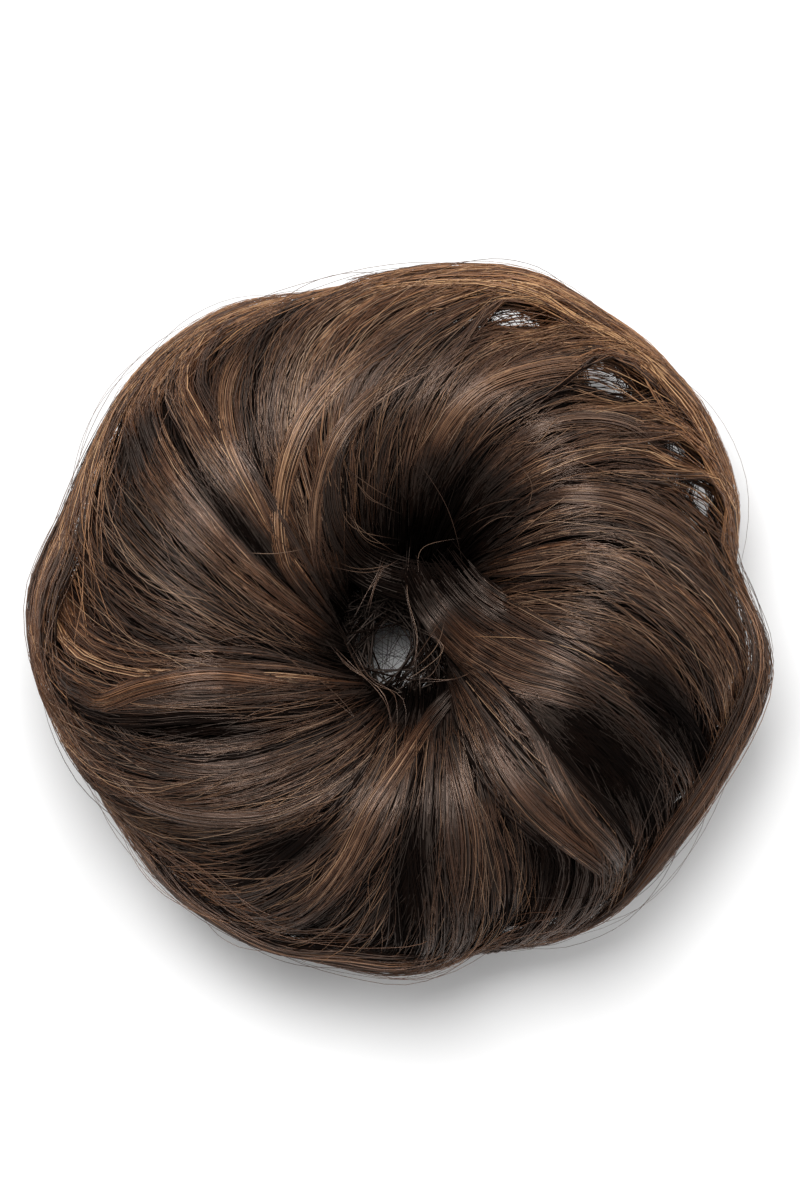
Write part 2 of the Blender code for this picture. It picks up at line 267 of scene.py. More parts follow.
def strandMesh(name, points, normals, radii, tones, warmths):
    # closed tubes of three sides, one for each row of points
    count, stations = points.shape[:2]
    radii = np.broadcast_to(radii, (count, stations))
    tones = np.broadcast_to(np.clip(tones, 0.0, 1.0), (count, stations))
    warmths = np.broadcast_to(np.clip(warmths, 0.0, 1.0), (count, stations))
    forward = np.gradient(points, axis=1)
    forward /= np.linalg.norm(forward, axis=2, keepdims=True) + 1e-12
    side = np.cross(forward, normals)
    side /= np.linalg.norm(side, axis=2, keepdims=True) + 1e-12
    outward = np.cross(side, forward)
    turns = np.radians((0.0, 120.0, 240.0))[:, None]
    flatness = 0.8
    section = flatness * np.cos(turns) * outward[:, :, None, :] + np.sin(turns) * side[:, :, None, :]
    corners = points[:, :, None, :] + radii[:, :, None, None] * section
    corners[..., 2] = np.maximum(corners[..., 2], 0.0)
    first = (np.arange(count) * stations * 3)[:, None, None]
    station = (np.arange(stations - 1) * 3)[None, :, None]
    edge = np.arange(3)[None, None, :]
    after = (edge + 1) % 3
    near = first + station + edge
    nearNext = first + station + after
    quads = np.stack([near, nearNext, nearNext + 3, near + 3], axis=-1).reshape(-1, 4)
    starts = np.arange(count)[:, None] * stations * 3 + np.array([2, 1, 0])[None, :]
    ends = np.arange(count)[:, None] * stations * 3 + (stations - 1) * 3 + np.array([0, 1, 2])[None, :]
    caps = np.concatenate([starts, ends])

    mesh = bpy.data.meshes.new(name)
    loops = np.concatenate([quads.ravel(), caps.ravel()])
    sizes = np.concatenate([np.full(len(quads), 4), np.full(len(caps), 3)])
    mesh.vertices.add(count * stations * 3)
    mesh.vertices.foreach_set("co", corners.ravel())
    mesh.loops.add(len(loops))
    mesh.loops.foreach_set("vertex_index", loops)
    mesh.polygons.add(len(sizes))
    mesh.polygons.foreach_set("loop_start", np.concatenate([[0], np.cumsum(sizes)[:-1]]))
    mesh.polygons.foreach_set("use_smooth", np.ones(len(sizes), bool))
    # the darkest lengths, where shade is painted, take the second material: a matt copy of the hair that
    # stands in for hair in shade
    dark = np.repeat(((tones[:, :-1] + tones[:, 1:]) / 2.0 < paintedShadeTone).ravel(), 3)
    capDark = np.concatenate([tones[:, 0] < paintedShadeTone, tones[:, -1] < paintedShadeTone])
    mesh.polygons.foreach_set("material_index", np.concatenate([dark, capDark]).astype(np.int32))
    for label, values in (("strandToneAndPaintedLight", tones), ("strandWarmthAndPaintedGlow", warmths)):
        attribute = mesh.attributes.new(label, "FLOAT", "POINT")
        attribute.data.foreach_set("value", np.repeat(values.ravel(), 3).astype(np.float32))

    # each strand is a thin column of the map, root to tip
    column = (loops // (stations * 3)).astype(float)
    up = (loops % (stations * 3)) // 3 / (stations - 1.0)
    corner = loops % 3
    wrapped = np.zeros(len(loops))
    wrapped[:len(quads) * 4] = np.tile([0, 1, 1, 0], len(quads))
    across = np.where((corner == 0) & (wrapped == 1), 3, corner) / 3.0
    u = (column + 0.08 + 0.84 * across) / count
    layer = mesh.uv_layers.new(name="OFBake")
    layer.data.foreach_set("uv", np.stack([u, 0.01 + 0.98 * up], axis=1).ravel())
    mesh.update(calc_edges=True)
    mesh.validate()
    return mesh


def addPiece(mesh, replaced=(), materials=None):
    piece = bpy.data.objects.new(mesh.name, mesh)
    bpy.context.scene.collection.objects.link(piece)
    for material in materials or (hairMaterial, shadedHairMaterial):
        mesh.materials.append(material)
    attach(piece, "root")
    if replaced:
        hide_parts(*replaced)


def addNode(tree, kind, settings=None, values=None, links=None):
    node = tree.nodes.new(kind)
    for key, value in (settings or {}).items():
        setattr(node, key, value)
    for key, value in (values or {}).items():
        node.inputs[key].default_value = value
    for key, source in (links or {}).items():
        tree.links.new(source, node.inputs[key])
    return node


def fillRamp(node, stops):
    ramp = node.color_ramp
    while len(ramp.elements) < len(stops):
        ramp.elements.new(0.5)
    for element, (place, colour) in zip(ramp.elements, stops):
        element.position = place
        element.color = toLinear(colour)


def makeHairMaterial(name, look, shine):
    # heat resistant fibre, drawn, dyed and set in curls: smooth, so each strand carries a narrow
    # line of light, and the colour runs from near black, painted shade in the folds, to red gold, painted
    # light in thin places
    material = bpy.data.materials.new(name)
    material.use_nodes = True
    tree = material.node_tree
    shader = tree.nodes["Principled BSDF"]
    shader.inputs["IOR"].default_value = 1.55
    shader.inputs["Specular IOR Level"].default_value = shine
    shader.inputs["Specular Tint"].default_value = toLinear(look["shineColour"])
    tone = addNode(tree, "ShaderNodeAttribute", {"attribute_name": "strandToneAndPaintedLight"})
    warmth = addNode(tree, "ShaderNodeAttribute", {"attribute_name": "strandWarmthAndPaintedGlow"})
    places = addNode(tree, "ShaderNodeTexCoord")
    # dye takes unevenly along a fibre, in patches about 4 mm long
    patches = addNode(tree, "ShaderNodeTexNoise", {"noise_dimensions": "3D"},
                      {"Scale": 1.0 / (4 * mm), "Detail": 2.0}, {"Vector": places.outputs["Object"]})
    uneven = addNode(tree, "ShaderNodeMapRange", None,
                     {"From Min": 0.3, "From Max": 0.7, "To Min": -0.06, "To Max": 0.06},
                     {"Value": patches.outputs["Fac"]})
    shade = addNode(tree, "ShaderNodeMath", {"operation": "ADD", "use_clamp": True}, None,
                    {0: tone.outputs["Fac"], 1: uneven.outputs["Result"]})
    cool = addNode(tree, "ShaderNodeValToRGB", None, None, {"Fac": shade.outputs["Value"]})
    fillRamp(cool, look["cool"])
    warm = addNode(tree, "ShaderNodeValToRGB", None, None, {"Fac": shade.outputs["Value"]})
    fillRamp(warm, look["warm"])
    mixed = addNode(tree, "ShaderNodeMix", {"data_type": "RGBA"}, None, {"Factor": warmth.outputs["Fac"]})
    tree.links.new(cool.outputs["Color"], mixed.inputs["A"])
    tree.links.new(warm.outputs["Color"], mixed.inputs["B"])
    tree.links.new(mixed.outputs["Result"], shader.inputs["Base Color"])
    # folded-in hair is matt, lit hair is glossy
    gloss = addNode(tree, "ShaderNodeMapRange", None,
                    {"From Min": 0.05, "From Max": 0.45,
                     "To Min": look["dullest"], "To Max": look["glossiest"]},
                    {"Value": shade.outputs["Value"]})
    tree.links.new(gloss.outputs["Result"], shader.inputs["Roughness"])
    return material


hairLook = {
    "dullest": 0.75,
    "glossiest": 0.27,
    "shineColour": "#f3dccd",
    "cool": ((0.0, "#0f0b0a"), (0.3, "#1f1612"), (0.6, "#453229"), (0.85, "#78604f"), (1.0, "#a08773")),
    "warm": ((0.0, "#110b09"), (0.3, "#29170e"), (0.6, "#613d26"), (0.85, "#9c6f4b"), (1.0, "#c99d70")),
}
hairMaterial = makeHairMaterial("curled dyed fibre hair", hairLook, 0.78)
# a copy of the hair with almost no shine, for painted shade
shadedHairMaterial = makeHairMaterial("dyed fibre hair in painted shade", hairLook, 0.06)

underMap = HeightMap(treeOf("under_hair"), 1)
hairTree = treeOf(*[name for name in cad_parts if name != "elastic_band"])
allMap = HeightMap(hairTree, 3)
print("heights read from the packed solids")

# The roots turn into the well, where little light comes, and most of all up and to the right: there their
# tone is painted darker, as shade
eyes = (
    {"across": 8.9, "up": 21.0, "halfWidth": 12.8, "halfHeight": 11.4, "edge": 0.5, "depth": 0.66},
    {"across": -3.0, "up": 2.0, "halfWidth": 14.0, "halfHeight": 15.0, "edge": 0.8, "depth": 0.60},
)


def eyeShade(points, jitter):
    # painted shade: a factor under 1 that darkens the tone inside each eye
    shade = 1.0
    for eye in eyes:
        away = np.hypot((points[..., 0] - wellX - eye["across"] * mm) / (eye["halfWidth"] * mm),
                        (points[..., 1] - wellY - eye["up"] * mm) / (eye["halfHeight"] * mm))
        edge = eye["edge"] / 2.0
        shade = shade * (1.0 - eye["depth"] * (1.0 - smoothStep(1.0 - edge, 1.0 + edge, away + jitter)))
    return shade


# Long narrow shapes laid out from the middle of the well: across, up, half length and half width in
# millimetres, and the degrees they are turned by. Through the partings the table shows, and in the
# folds the hair sinks and its tone is painted dark, as shade.
partings = (
    (20.8, 57.6, 8.0, 2.6, -12),
    (38.5, 45.8, 7.6, 3.5, -26),
    (51.6, 31.8, 6.0, 2.3, -50),
    (55.6, 23.6, 6.6, 2.9, -64),
)
folds = (
    (-49.8, 33.8, 8.0, 3.4, 62),
    (-40.4, -18.5, 17.0, 2.8, -4),
    (-29.0, 16.5, 16.0, 2.8, -44),
    (-24.0, -6.0, 10.0, 2.6, -8),
    (-22.0, -41.0, 10.0, 3.4, 18),
    (36.0, -24.0, 20.0, 9.0, -48),
    (28.5, -44.8, 12.0, 6.5, -60),
    (1.0, -44.0, 13.0, 4.6, 80),
    (2.0, -14.5, 7.0, 5.0, 0),
    (48.0, -15.5, 15.0, 5.5, -56),
)


def inShape(points, shape):
    toRight, toTop, halfLength, halfWidth, degrees = shape
    turn = math.radians(degrees)
    x = points[..., 0] - wellX - toRight * mm
    y = points[..., 1] - wellY - toTop * mm
    along = x * math.cos(turn) + y * math.sin(turn)
    across = y * math.cos(turn) - x * math.sin(turn)
    return along / (halfLength * mm), across / (halfWidth * mm)


def foldDepth(points):
    # 1 in the middle of a fold, 0 outside all of them
    depth = np.zeros(points.shape[:-1])
    for fold in folds:
        depth = np.maximum(depth, 1.0 - smoothStep(0.35, 1.25, np.hypot(*inShape(points, fold))))
    return depth


def thinness(points):
    # 1 beside a parting, where the hair is thin and light shining through it is painted as a lighter, warmer
    # tone, 0 away from them
    thin = np.zeros(points.shape[:-1])
    for gap in partings:
        along, across = inShape(points, gap)
        thin = np.maximum(thin, 1.0 - smoothStep(0.7, 1.7, np.hypot(along, across / 2.2)))
    return thin


def parted(points, share):
    # moves strands sideways off each parting, all but a share of them
    points = points.copy()
    count = len(points)
    for gap in partings:
        halfWidth, degrees = gap[3:]
        turn = math.radians(degrees)
        along, across = inShape(points, gap)
        nearest = np.hypot(along, across / 3.0).argmin(axis=1)
        side = np.where(across[np.arange(count), nearest] < 0.0, -1.0, 1.0)[:, None]
        opened = np.sqrt(np.clip(1.0 - along ** 2, 0.0, 1.0))
        own = across * side
        push = opened * np.exp(-np.maximum(own, 0.0) * 0.7) + np.maximum(-own, 0.0) * opened
        push = push * (1.0 - smoothStep(3.0, 6.0, np.abs(across)))
        push = halfWidth * mm * push * side * (draws.random((count, 1)) > share)
        points[..., 0] -= push * math.sin(turn)
        points[..., 1] += push * math.cos(turn)
    return points


# Painted shade and light: how much darker the tone is painted deep down, in a fold and in the well, and what
# painted light the thin places and the rim add
shadeForm = {"perMillimetre": 0.24, "inFold": 0.86, "inWell": 0.75, "foldSinks": 1.3,
             "paintedThinLight": 0.11, "paintedThinWarmth": 0.3, "paintedRimLight": 0.08}


def ringStrands(name, angle, lift, height, depth, radius, tone, warmth,
                taper=0.2, paintedRimGlow=0.5, crossing=0.05, lit=0.0):
    # strands given by angle, lift and height over the plain ring, one row each
    count, stations = angle.shape
    u = alongStrand(stations)
    plain = ringPoint(angle, lift, height)
    fold = foldDepth(plain) * (1.0 - lit)
    plain = ringPoint(angle, lift, height - shadeForm["foldSinks"] * mm * fold)
    normals = ringPoint(angle, lift, height + mm) - plain
    points = parted(plain, crossing)
    radii = radius[:, None] * narrowed(u, 0.08, 0.12, 1.04, taper)
    # painted shade: the tone darkens towards the well and inside the eyes
    wellShade = 1.0 - shadeForm["inWell"] * (1.0 - smoothStep(5.0, 62.0, lift))
    shade = wellShade * eyeShade(points, draws.normal(0.0, 0.12, (count, 1)))
    # painted light: hair at the rim is lighter and warmer, as light shining through it
    rim = smoothStep(120.0, 178.0, lift)
    thin = thinness(points)
    # painted shade deeper down and in the folds, painted light at the rim and beside the partings
    tones = (tone - shadeForm["perMillimetre"] * depth / mm) * shade * (1.0 - shadeForm["inFold"] * fold)
    tones = tones + shadeForm["paintedRimLight"] * rim * paintedRimGlow * (1.0 - fold) + shadeForm["paintedThinLight"] * thin
    warmths = warmth + paintedRimGlow * rim * (1.0 - fold) + shadeForm["paintedThinWarmth"] * thin
    return strandMesh(name, points, normals, radii, tones, warmths)


# Locks over the ring, lowest first: each is combed into wisps with a groove between them, and the grooves and
# the lock's edges are painted darker, as shade
lockForm = {
    "width": 20.0,
    "overlap": 1.02,  # strands spread a little past the solid's own edges
    "spread": (0.34, 0.66, 0.92, 1.0, 0.98, 0.84, 0.44),
    "solidSpread": (0.28, 0.60, 0.90, 1.00, 0.95, 0.76, 0.24),
    "strandsAtLeast": 70,
    "strandsPerWidth": 250,
    "wispsPerWidth": 9,
    "crown": 0.9,  # how far a wisp's middle stands over its edges
    "thinnest": 0.17,
    "thickest": 0.27,
    "sink": 0.0,  # how deep the ends dive
    "crossing": 0.10,  # the share of strands that cross the partings
}
# The tones fall from the top of the ring to the bottom: painted shade for light that falls off downwards
# Angles at the lift stops, share of the width, tone, warmth, and how far out of the folds it stays
locks = {
    "lock_right_middle": ((366, 366, 360, 350, 339, 325, 310), 1.00, 0.52, 0.22, 0.12),
    "lock_bottom_broad": ((303, 288, 281, 280, 278, 272, 262), 1.00, 0.38, 0.14, 0.12),
    "lock_left_middle": ((250, 226, 212, 204, 195, 181, 166), 0.90, 0.50, 0.18, 0.12),
    "lock_upper_right": ((60, 56, 50, 43, 32, 18, 3), 1.00, 0.62, 0.34, 0.12),
    "lock_right_upper": ((42, 36, 27, 11, -5, -20, -36), 0.95, 0.60, 0.28, 0.12),
    "lock_top_right": ((84, 82, 76, 67, 57, 42, 27), 0.95, 0.66, 0.42, 0.12),
    "lock_top_left": ((152, 129, 118, 105, 88, 70, 56), 1.00, 0.70, 0.40, 0.12),
    "lock_upper_left": ((190, 164, 149, 142, 136, 121, 105), 0.90, 0.66, 0.30, 0.12),
    "lock_left_lower": ((262, 250, 232, 217, 203, 186, 170), 0.90, 0.42, 0.18, 0.12),
    "lock_left_golden": ((244, 208, 195, 191, 184, 171, 156), 0.70, 0.51, 0.60, 1.0),
    "lock_bottom_left": ((275, 266, 257, 249, 242, 231, 218), 0.75, 0.44, 0.20, 0.12),
    "lock_right_lower": ((351, 342, 336, 331, 325, 315, 301), 1.00, 0.34, 0.12, 0.12),
    "lock_crossing_outer": ((331, 322, 314, 312, 309, 297, 284), 0.55, 0.36, 0.20, 0.3),
    "lock_crossing_inner": ((318, 305, 304, 308, 301, 289, 276), 0.55, 0.36, 0.20, 0.3),
}


def lockSurface(node, angleOf, liftOf, width):
    # height of the lock's own outer side, over its length and width
    shares = np.linspace(0.0, 1.0, 29)
    sides = np.linspace(-1.0, 1.0, 9)
    shareGrid, sideGrid = np.meshgrid(shares, sides, indexing="ij")
    narrow = curveThrough(np.linspace(0, 1, 7), [lockForm["solidSpread"]], shareGrid)
    angle, lift = shifted(angleOf, liftOf, shareGrid, sideGrid * 0.96 * width / 2.0 * narrow)
    top = heightsOn(treeOf(node), angle, lift)
    floor = underMap.read(angle, lift)
    top[:, 4] = np.where(np.isnan(top[:, 4]), floor[:, 4], top[:, 4])
    for step, columns in ((1, (5, 6, 7, 8)), (-1, (3, 2, 1, 0))):
        for j in columns:
            top[:, j] = np.where(np.isnan(top[:, j]), top[:, j - step] - 0.5 * mm, top[:, j])
    return np.maximum(top, floor)


def lockStrands(form, angles, lifts, width, count, wisps, begin, end, stations=15):
    places = np.linspace(0.0, 1.0, len(angles))
    angleOf = lambda t: curveThrough(places, [angles], t)
    liftOf = lambda t: curveThrough(places, [lifts], t)
    top = lockSurface(form["node"], angleOf, liftOf, width)

    wisp = draws.integers(0, wisps, count)
    wispSide = (np.arange(wisps) + 0.5) / wisps * 2.0 - 1.0 + draws.uniform(-0.4, 0.4, wisps) / wisps
    wispHalf = draws.uniform(0.75, 1.35, wisps) / wisps
    wispTone = draws.normal(0.0, 0.08, wisps) - 0.22 * (draws.random(wisps) < 0.28)
    wispWarm = draws.normal(0.0, 0.16, wisps)
    wispRise = draws.uniform(-0.4, 0.5, wisps) * mm
    place = draws.uniform(-1.0, 1.0, count)
    stray = draws.random(count) < 0.05

    u = alongStrand(stations)
    t = begin[:, None] + (end - begin)[:, None] * u
    drift = 0.13 * waves(wisps, u)[wisp]
    own = waves(count, t) * np.where(stray, 0.30, 0.025)[:, None]
    pinch = 0.70 + 0.30 * np.sin(math.pi * u)
    side = wispSide[wisp][:, None] + wispHalf[wisp][:, None] * place[:, None] * pinch + drift + own
    spread = curveThrough(np.linspace(0, 1, 7), [form["spread"]], np.clip(t, 0.0, 1.0))
    angle, lift = shifted(angleOf, liftOf, t, side * width * form["overlap"] / 2.0 * spread)

    bow = np.sin(math.pi * u)
    crown = form["crown"] * mm * (np.sqrt(np.clip(1.0 - place * place, 0.0, 1.0)) - 0.6)[:, None]
    depth = draws.random(count)[:, None] ** 1.6 * 1.2 * mm
    beyond = np.maximum(np.abs(side) - 1.0, 0.0)
    over = (wispRise[wisp][:, None] + crown + np.where(stray, 0.6 * mm, 0.0)[:, None]) * bow
    row = np.clip(t, 0.0, 1.0) * (top.shape[0] - 1)
    column = (np.clip(side, -1.0, 1.0) + 1.0) / 2.0 * (top.shape[1] - 1)
    height = readGrid(top, row, column) + over - depth - beyond * 2.5 * mm
    # painted shade: strands toward a wisp's edge count as deeper and so come out darker
    grooveShade = 0.35 * mm * (1.0 - np.sqrt(np.clip(1.0 - place * place, 0.0, 1.0)))[:, None]
    radius = draws.uniform(form["thinnest"], form["thickest"], count) / 2.0 * mm
    # painted shade: the tone is darker at the lock's edges
    edge = smoothStep(0.62, 1.0, np.abs(side))
    tone = (form["tone"] + wispTone[wisp] + draws.normal(0.0, 0.15, count))[:, None] - 0.22 * edge
    warmth = (form["warmth"] + wispWarm[wisp] + draws.normal(0.0, 0.13, count))[:, None]
    sink = form["sink"] * mm * (smoothStep(0.7, 1.0, u) + 1.0 - smoothStep(0.0, 0.3, u))
    # painted shade: strands in the grooves and past the lock's edges get darker tones
    return ringStrands(pieceName(form["node"]), angle, lift, height - sink, depth + grooveShade + beyond * mm,
                       radius, tone, warmth, crossing=form["crossing"], lit=form["lit"])


def pieceName(node):
    words = node.split("_")
    return words[0] + "".join(word.capitalize() for word in words[1:]) + "Hair"


for node, (angles, share, tone, warmth, lit) in locks.items():
    count = int(lockForm["strandsAtLeast"] + lockForm["strandsPerWidth"] * share)
    mesh = lockStrands(dict(lockForm, node=node, tone=tone, warmth=warmth, lit=lit), angles, liftStops,
                       lockForm["width"] * mm * share, count, int(round(lockForm["wispsPerWidth"] * share)),
                       draws.uniform(-0.03, 0.05, count), draws.uniform(0.9, 1.02, count))
    addPiece(mesh, (node,))
print("locks laid")

# Thin ribbons of hair that lie over the locks, drawn from above: how many strands, the width at the
# root, in the middle and at the tip, tone, warmth, the share over which the root comes out of the
# dark, and points from the middle of the well in millimetres, root first
ribbons = {
    "ribbonEyeWall": (130, (9.0, 7.5, 7.0), 0.34, 0.22, 0.75,
        ((12.0, 7.5), (1.0, 8.4), (-9.0, 12.5), (-13.5, 21.5), (-12.5, 33.0), (-4.0, 44.0))),
    "ribbonCurlOuter": (130, (8.0, 9.0, 6.0), 0.54, 0.22, 0.5,
        ((5.0, 14.0), (12.0, 5.5), (21.0, -0.5), (32.0, -6.0), (43.0, -14.0))),
    "ribbonCurl": (160, (5.0, 9.0, 7.0), 0.62, 0.25, 0.5,
        ((0.0, 12.5), (4.0, 4.8), (10.5, -2.6), (19.0, -7.8), (28.0, -10.5), (37.0, -13.5))),
    "ribbonCrossingInner": (85, (3.2, 4.8, 3.0), 0.56, 0.40, 0.3,
        ((10.0, -8.5), (13.0, -16.5), (17.0, -25.5), (23.0, -33.5), (30.0, -39.8), (36.6, -45.5),
         (37.6, -52.0))),
    "ribbonCrossingOuter": (80, (3.2, 4.4, 3.0), 0.56, 0.32, 0.3,
        ((18.6, -10.5), (23.2, -18.5), (27.4, -28.0), (31.8, -35.0), (37.5, -41.0), (41.0, -47.5),
         (39.0, -53.5))),
    "ribbonFanLeft": (95, (2.6, 4.6, 5.5), 0.68, 0.30, 0.3,
        ((11.0, -9.6), (4.3, -17.0), (-1.0, -24.9), (-6.5, -33.0), (-11.4, -43.0), (-18.0, -51.5),
         (-26.0, -56.5))),
    "ribbonFanMiddle": (85, (2.5, 6.0, 6.5), 0.52, 0.25, 0.3,
        ((7.0, -17.2), (9.0, -26.6), (11.6, -37.5), (11.4, -49.0), (8.0, -61.0))),
    "ribbonFanRight": (80, (2.5, 6.0, 6.0), 0.48, 0.20, 0.3,
        ((12.4, -25.0), (15.5, -36.8), (18.0, -47.2), (17.4, -59.0))),
    "ribbonEyeLeft": (60, (1.6, 3.6, 5.0), 0.76, 0.30, 0.3,
        ((-13.4, 1.5), (-16.8, 13.1), (-16.0, 26.2), (-10.6, 38.1), (0.6, 47.0), (14.0, 52.0))),
    "ribbonUpperLeft": (70, (1.6, 4.6, 6.0), 0.74, 0.55, 0.3,
        ((-16.0, 2.0), (-22.5, 12.0), (-23.0, 25.0), (-18.0, 39.0), (-7.4, 50.0), (7.0, 56.5))),
    "ribbonFarLeft": (80, (2.0, 5.0, 6.0), 0.70, 0.45, 0.3,
        ((-19.0, 7.0), (-26.5, 22.0), (-32.5, 35.0), (-33.0, 46.0), (-27.0, 56.0))),
    "ribbonTop": (85, (3.0, 5.6, 7.0), 0.74, 0.45, 0.3,
        ((3.0, 25.5), (6.0, 34.2), (13.0, 42.6), (23.5, 47.0), (36.0, 48.0), (47.0, 42.5))),
    "ribbonTopRight": (60, (1.6, 3.4, 4.5), 0.68, 0.12, 0.3,
        ((16.2, 30.7), (21.5, 35.0), (29.9, 38.1), (40.5, 37.4), (50.0, 31.5))),
    "ribbonRight": (80, (2.0, 5.0, 7.0), 0.66, 0.25, 0.3,
        ((19.0, 22.0), (29.0, 24.2), (39.8, 23.0), (51.0, 17.0), (59.0, 6.5))),
    "ribbonLowerLeft": (85, (2.0, 4.6, 5.5), 0.54, 0.32, 0.3,
        ((-5.4, -20.8), (-13.6, -29.5), (-25.3, -34.9), (-39.4, -35.2), (-51.0, -31.0), (-57.5, -22.0))),
    "ribbonLeft": (75, (2.0, 4.4, 5.5), 0.50, 0.25, 0.3,
        ((-10.0, -17.5), (-20.4, -22.6), (-34.2, -26.0), (-48.9, -23.3), (-58.0, -14.0))),
    "ribbonGolden": (85, (2.0, 4.8, 5.0), 0.56, 0.62, 0.3,
        ((-13.0, -12.4), (-24.5, -10.2), (-36.5, -9.0), (-48.5, -11.2), (-57.5, -14.0), (-63.5, -9.0))),
}
bridges = ("ribbonCurlOuter", "ribbonCurl")  # these reach over the mouth of the well


# A square grid over the hair: cells, half its side, and the heights taken where there is no hair
planForm = {"cells": 111, "reach": 82.5, "overWell": 29.0, "outside": 18.0, "outsideFrom": 40.0}


def planHeights(form):
    # height of the hair straight above each point of the grid, in metres
    size = form["cells"]
    places = np.linspace(-form["reach"] * mm, form["reach"] * mm, size)
    heights = np.full((size, size), form["overWell"] * mm)
    for i in range(size):
        for j in range(size):
            hit = hairTree.ray_cast(Vector((places[i], places[j], 0.1)), Vector((0.0, 0.0, -1.0)))
            away = math.hypot(places[i] - wellX, places[j] - wellY)
            if hit[0] is not None:
                heights[i, j] = hit[0].z
            elif away > form["outsideFrom"] * mm:
                heights[i, j] = form["outside"] * mm
    return places, blurred(heights, 2)


planPlaces, planGrid = planHeights(planForm)


def planHeight(x, y):
    step = planPlaces[1] - planPlaces[0]
    column = np.clip((x - planPlaces[0]) / step, 0.0, len(planPlaces) - 1.001)
    row = np.clip((y - planPlaces[0]) / step, 0.0, len(planPlaces) - 1.001)
    return readGrid(planGrid, column, row)


def ribbonStrands(name, count, widths, tone, warmth, fade, route, stations=16):
    route = np.array(route) * mm + np.array([wellX, wellY])
    places = np.linspace(0.0, 1.0, len(route))
    u = alongStrand(stations)
    begin = draws.uniform(0.0, 0.5 * fade, (count, 1))
    end = draws.uniform(0.80, 1.0, (count, 1))
    t = begin + (end - begin) * u
    x = curveThrough(places, [route[:, 0]], t)
    y = curveThrough(places, [route[:, 1]], t)
    run = curveThrough(places, [route[:, 0]], t + 0.01) - x
    rise = curveThrough(places, [route[:, 1]], t + 0.01) - y
    length = np.hypot(run, rise) + 1e-9
    width = np.interp(t, (0.0, 0.5, 1.0), widths) * mm
    place = draws.uniform(-1.0, 1.0, (count, 1))
    side = place + 0.10 * waves(count, t)
    x = x - rise / length * side * width / 2.0
    y = y + run / length * side * width / 2.0
    bow = np.sin(math.pi * u) ** 0.5
    crown = np.sqrt(np.clip(1.05 - place * place, 0.0, 1.0))
    depth = draws.random((count, 1)) * 0.7 * mm
    step = 1.5 * mm
    steep = np.hypot(planHeight(x + step, y) - planHeight(x - step, y),
                     planHeight(x, y + step) - planHeight(x, y - step)) / (2.0 * step)
    lean = np.minimum(np.sqrt(1.0 + steep ** 2), 2.0)
    z = planHeight(x, y) + ((2.0 * crown * bow - 0.5) * mm - depth) * lean
    if name in bridges:
        away = np.hypot(x - wellX, y - wellY) / mm
        bridge = (29.0 + 12.5 * smoothStep(3.0, 16.0, away) - 5.0 * smoothStep(16.0, 22.0, away)) * mm
        z = np.maximum(z, bridge + 4.2 * mm * crown - depth)
    points = np.stack([x, y, z], axis=-1)
    normals = sideways((0.0, 0.0, 1.0), points.shape)
    normals[..., 0] += (x - wellX) * 4.0
    normals[..., 1] += (y - wellY) * 4.0
    # painted shade: a ribbon is darker at its edges, deeper down and at the root, where it comes out of the
    # dark; it is also a little darker towards the tip
    tones = tone + draws.normal(0.0, 0.15, (count, 1)) - 0.22 * (1.0 - crown) - 0.15 * depth / mm
    tones = tones * (0.12 + 0.88 * smoothStep(0.0, fade, t)) * (1.0 - 0.35 * smoothStep(0.75, 1.0, t))
    warmths = warmth + draws.normal(0.0, 0.12, (count, 1))
    radii = draws.uniform(0.08, 0.13, (count, 1)) * mm * narrowed(u, 0.1, 0.15, 1.04, 0.25)
    return strandMesh(name, points, normals, radii, tones, warmths)


for name, look in ribbons.items():
    addPiece(ribbonStrands(name, *look))
print("ribbons laid")

# Locks that run round the rim: long staggered ends, thin, and gold partly in their own colour and partly as
# painted light shining through them; the upper two are painted lighter and warmer, as light from above
rimForm = {"width": 13.0, "strands": 260, "wisps": 6, "sink": 1.0, "crossing": 0.3, "lit": 1.0,
           "spread": (0.7, 0.9, 1.0, 1.0, 1.0, 0.9, 0.7)}
# First and last angle, lifts at the start, middle and end, tone, warmth
rimLocks = {
    "rim_lock_upper_right": (100, 18, (158, 168, 180), 0.78, 0.72),
    "rim_lock_lower_right": (12, -70, (158, 172, 184), 0.52, 0.50),
    "rim_lock_lower_left": (278, 204, (158, 172, 184), 0.52, 0.45),
    "rim_lock_upper_left": (196, 110, (158, 170, 182), 0.72, 0.62),
}
for node, (first, last, lifts, tone, warmth) in rimLocks.items():
    count = rimForm["strands"]
    form = {**lockForm, **rimForm, "node": node, "tone": tone, "warmth": warmth}
    mesh = lockStrands(form, (first, (first + last) / 2.0, last), lifts, rimForm["width"] * mm, count,
                       rimForm["wisps"], draws.uniform(0.0, 0.4, count), draws.uniform(0.62, 0.99, count))
    addPiece(mesh, (node,))
print("rim locks laid")

# Hair all over that follows the comb, under and between the locks
flowForm = {"sectors": 12, "strands": 200, "over": 0.3, "tone": 0.32, "warmth": 0.16, "thinnest": 0.19,
            "thickest": 0.29, "wander": 0.7, "strays": 0.05, "firstLift": (-18.0, 25.0),
            "lastLift": (205.0, 256.0)}
veilForm = {"sectors": 6, "strands": 190, "over": 1.0, "tone": 0.76, "warmth": 0.22, "thinnest": 0.09,
            "thickest": 0.14, "wander": 3.0, "strays": 0.25, "firstLift": (8.0, 90.0),
            "lastLift": (110.0, 195.0)}


